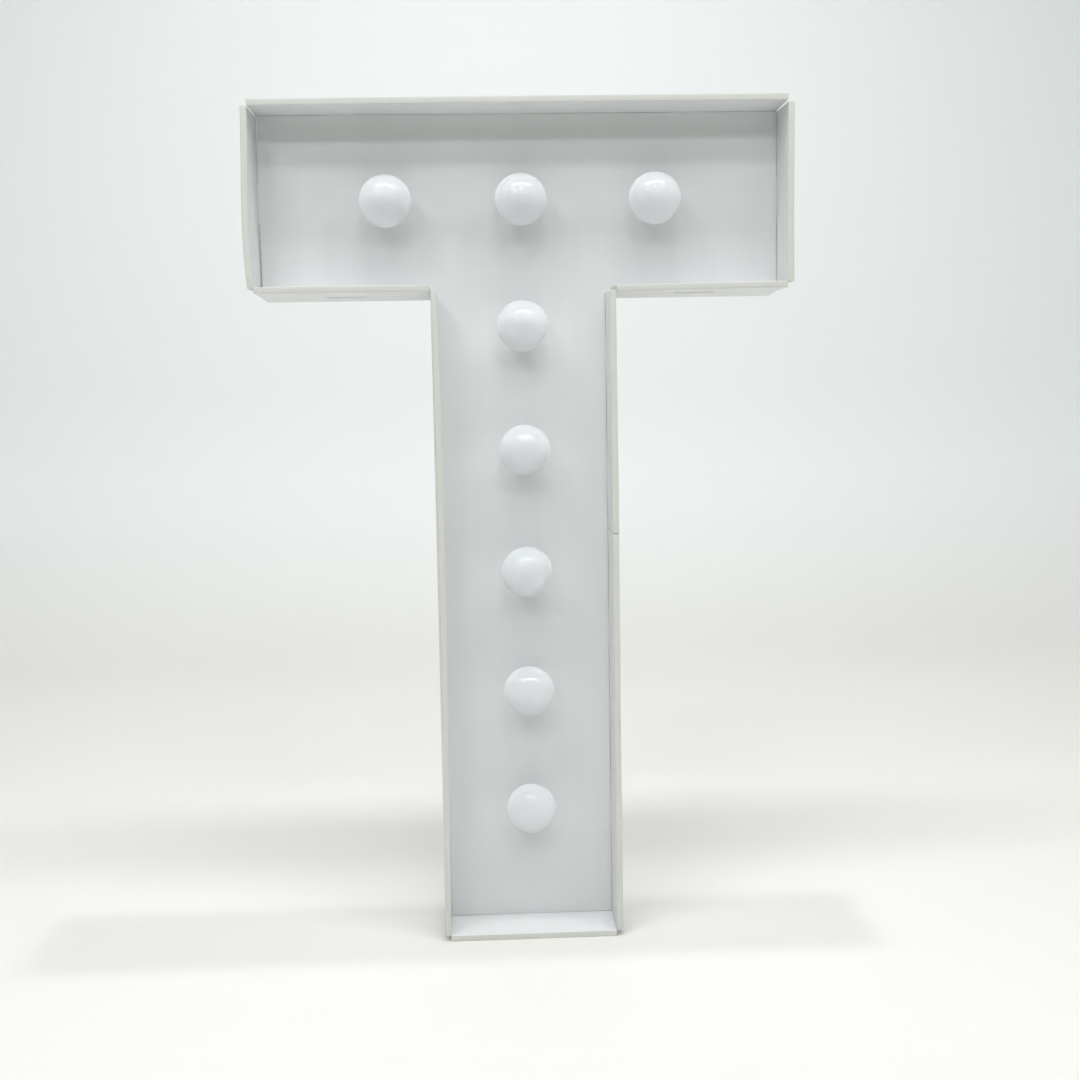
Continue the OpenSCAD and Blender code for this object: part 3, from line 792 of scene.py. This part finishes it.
class LETTER_OT_battery(bpy.types.Operator):
    """Battery case, lid, cells, contacts and switch with their own finishes."""

    bl_idname = "letter.battery"
    bl_label = "Battery case"

    def execute(self, context):
        shell = plastic_finish("case_plastic", (0.82, 0.82, 0.80), 0.42, 0.55, 1900.0, 0.3)
        metal = metal_finish("nickel_strip", (0.72, 0.71, 0.68))
        dress("battery_case", shell, 0.0005)
        dress("battery_lid", shell)
        dress("cells", cell_finish(), 0.0006)
        dress("cell_contacts", metal, 0)
        dress("switch_frame", metal, 0.0002)
        button = plastic_finish("button_plastic", (0.035, 0.035, 0.037), 0.35, 0.5)
        dress("switch_button", button, 0.0002)
        dress("foam_pads", foam_finish(), 0)
        return {"FINISHED"}


# ---- stage ----

LAMP_COLOUR = (0.97, 0.995, 1.0)
LETTER_AIM = (0, 0, 0.9)
# Each studio lamp: its name, place, target, size and power in watts.
STUDIO_LAMPS = (
    ("overhead", (0.19, 0.05, 3.2), (0.1, 0.02, 0), (0.09, 0.09), 16),
    ("far_left", (-1.5, -3.55, 2.94), LETTER_AIM, (0.6, 0.26), 12),
    ("far_middle", (0.35, -3.55, 2.94), LETTER_AIM, (0.6, 0.26), 10),
    ("far_right", (1.9, -3.55, 2.94), LETTER_AIM, (0.6, 0.26), 4),
    ("near_left", (-1.5, -1.89, 2.95), LETTER_AIM, (0.5, 0.26), 8),
    ("near_middle", (0.12, -1.89, 2.95), LETTER_AIM, (0.5, 0.26), 6),
    ("near_right", (1.7, -1.89, 2.95), LETTER_AIM, (0.5, 0.26), 4.2),
    ("ceiling", (0.1, -1.36, 4.5), (0.1, -1.36, 0), (4.9, 0.57), 128),
    ("backdrop", (0.0, 1.1, 2.7), (0, 2.8, 0.7), (2.4, 0.3), 11),
)
# Lamps that light only the floor and backdrop.
SWEEP_LAMPS = ("overhead", "backdrop")
# Levels of the room by the height of a direction: what lights the scene, and what is seen.
LIGHT_STOPS = ((-1, 0.0), (0.27, 0.0), (0.33, 0.57), (0.77, 0.57), (0.83, 0.0), (1, 0.0))
SEEN_STOPS = ((-1, HORIZON_LEVEL), (0.3, HORIZON_LEVEL), (0.8, 0.66), (1, 0.66))
# How far the floor and backdrop reach, the depth where the floor starts to bend up, and the bend's
# radius and steps.
SWEEP_REACH, SWEEP_START, SWEEP_BEND, SWEEP_STEPS = 6.0, 2.0, 0.8, 24
CAMERA_PLACE = (-0.0759, -2.1453, 0.8382)
CAMERA_TURN = (0.74628772, 0.66515142, -0.00937576, -0.0232449)
CAMERA_SENSOR, CAMERA_LENS, CAMERA_NEAR, CAMERA_FAR = 36.0, 48.32, 0.05, 60.0


def area_lamp(name, place, target, size, power):
    """A rectangular studio lamp at a place, turned to a target."""
    data = bpy.data.lights.new(name, "AREA")
    data.shape = "RECTANGLE"
    data.size, data.size_y = size
    data.energy = power
    data.color = LAMP_COLOUR
    lamp = bpy.data.objects.new(name, data)
    lamp.location = place
    aim = Vector(target) - Vector(place)
    lamp.rotation_euler = aim.to_track_quat("-Z", "Y").to_euler()
    bpy.context.scene.collection.objects.link(lamp)
    return lamp


def height_ramp(tree, height, stops):
    """Greys by the height of a direction, with stops from -1 straight down to 1 straight up."""
    ramp = tree.put("ValToRGB", {"Fac": height})
    elements = ramp.color_ramp.elements
    places = [position / 2 + 0.5 for position, _ in stops]
    elements[0].position, elements[1].position = places[0], places[-1]
    for place in places[1:-1]:
        elements.new(place)
    for element, (_, level) in zip(elements, stops):
        element.color = rgba(room_grey(level))
    return ramp.outputs["Color"]


def room_light(scene, level):
    """Soft light of a room with a bright ceiling. The camera, gloss and clear things see it with a
    pale horizon."""
    scene.world = bpy.data.worlds.new("room")
    scene.world.use_nodes = True
    tree = Tree(scene.world.node_tree)
    direction = tree.put("SeparateXYZ", {0: tree.place["Generated"]}).outputs
    height = tree.ramp(direction["Z"], -1.0, 1.0)
    rays = tree.put("LightPath").outputs
    seen = rays["Is Camera Ray"]
    for ray in ("Is Glossy Ray", "Is Transmission Ray"):
        seen = tree.math("MAXIMUM", seen, rays[ray])
    light, shown = height_ramp(tree, height, LIGHT_STOPS), height_ramp(tree, height, SEEN_STOPS)
    background = tree.nodes["Background"].inputs
    tree.links.new(tree.mix(seen, light, shown), background["Color"])
    background["Strength"].default_value = level


def studio_sweep(scene, stage):
    """Floor and backdrop: a line along Y, a quarter circle up from it and a line along Z, drawn out
    along X."""
    turn = np.linspace(0, np.pi / 2, SWEEP_STEPS)
    up = SWEEP_BEND - SWEEP_BEND * np.cos(turn)
    bend = np.stack([SWEEP_START + SWEEP_BEND * np.sin(turn), up], -1)
    line = np.concatenate([[[-SWEEP_REACH, 0.0]], bend, [[SWEEP_START + SWEEP_BEND, SWEEP_REACH]]])
    width = np.array([[-SWEEP_REACH, SWEEP_REACH]])
    verts = np.stack(np.broadcast_arrays(width, line[:, :1], line[:, 1:]), -1).reshape(-1, 3)
    i = np.arange(len(line) - 1)
    faces = np.stack([2 * i, 2 * i + 1, 2 * i + 3, 2 * i + 2], -1)
    mesh = bpy.data.meshes.new("studio_sweep")
    mesh.from_pydata(verts.tolist(), [], faces.tolist())
    mesh.polygons.foreach_set("use_smooth", np.ones(len(faces), bool))
    mesh.materials.append(floor_finish(stage))
    floor = bpy.data.objects.new("studio_sweep", mesh)
    scene.collection.objects.link(floor)
    return floor


def photo_camera(scene):
    """The scene's camera, at the place, turn and lens that fit the letter's outline."""
    data = bpy.data.cameras.new("photo_camera")
    data.sensor_width, data.lens = CAMERA_SENSOR, CAMERA_LENS
    data.clip_start, data.clip_end = CAMERA_NEAR, CAMERA_FAR
    scene.camera = bpy.data.objects.new("photo_camera", data)
    scene.camera.location = CAMERA_PLACE
    scene.camera.rotation_mode = "QUATERNION"
    scene.camera.rotation_quaternion = CAMERA_TURN
    scene.collection.objects.link(scene.camera)


class LETTER_OT_stage(bpy.types.Operator):
    """Pale floor that sweeps up behind, soft lamps overhead and in front, and the camera."""

    bl_idname = "letter.stage"
    bl_label = "Stage"

    def execute(self, context):
        scene = context.scene
        stage = scene.letter.stage
        sweep_only = bpy.data.collections.new("studio_sweep_only")
        sweep_only.objects.link(studio_sweep(scene, stage))
        for name, place, target, size, power in STUDIO_LAMPS:
            lamp = area_lamp(name, place, target, size, power * stage.lamp_level)
            if name in SWEEP_LAMPS:
                lamp.light_linking.receiver_collection = sweep_only
        room_light(scene, stage.sky_level)
        photo_camera(scene)
        scene.view_settings.view_transform = "Standard"
        return {"FINISHED"}


# ---- add-on ----


class LETTER_PT_sidebar(bpy.types.Panel):
    """Lists the letter's operators and settings."""

    bl_label = "Letter"
    bl_idname = "LETTER_PT_sidebar"
    bl_space_type = "VIEW_3D"
    bl_region_type = "UI"
    bl_category = "Letter"

    def draw(self, context):
        for operator in OPERATORS:
            self.layout.operator(operator.bl_idname)
        for group in ("board", "lamp", "wire", "stage"):
            settings = getattr(context.scene.letter, group)
            box = self.layout.box()
            for name in settings.__annotations__:
                box.prop(settings, name)


OPERATORS = (
    LETTER_OT_walls, LETTER_OT_panel, LETTER_OT_globes, LETTER_OT_sockets, LETTER_OT_wiring,
    LETTER_OT_battery, LETTER_OT_stage)
CLASSES = (
    BoardSettings, LampSettings, WireSettings, StageSettings, LetterSettings, *OPERATORS,
    LETTER_PT_sidebar)


def register():
    """Adds the classes, and the settings to every scene."""
    for cls in CLASSES:
        bpy.utils.register_class(cls)
    bpy.types.Scene.letter = PointerProperty(type=LetterSettings)


def unregister():
    """Takes out what register added, in reverse order."""
    del bpy.types.Scene.letter
    for cls in reversed(CLASSES):
        bpy.utils.unregister_class(cls)


def main():
    """Builds the stage and all pieces."""
    register()
    bpy.ops.letter.stage()
    bpy.ops.letter.walls()
    bpy.ops.letter.panel()
    bpy.ops.letter.globes()
    bpy.ops.letter.sockets()
    bpy.ops.letter.wiring()
    bpy.ops.letter.battery()


if __name__ == "__main__":
    main()
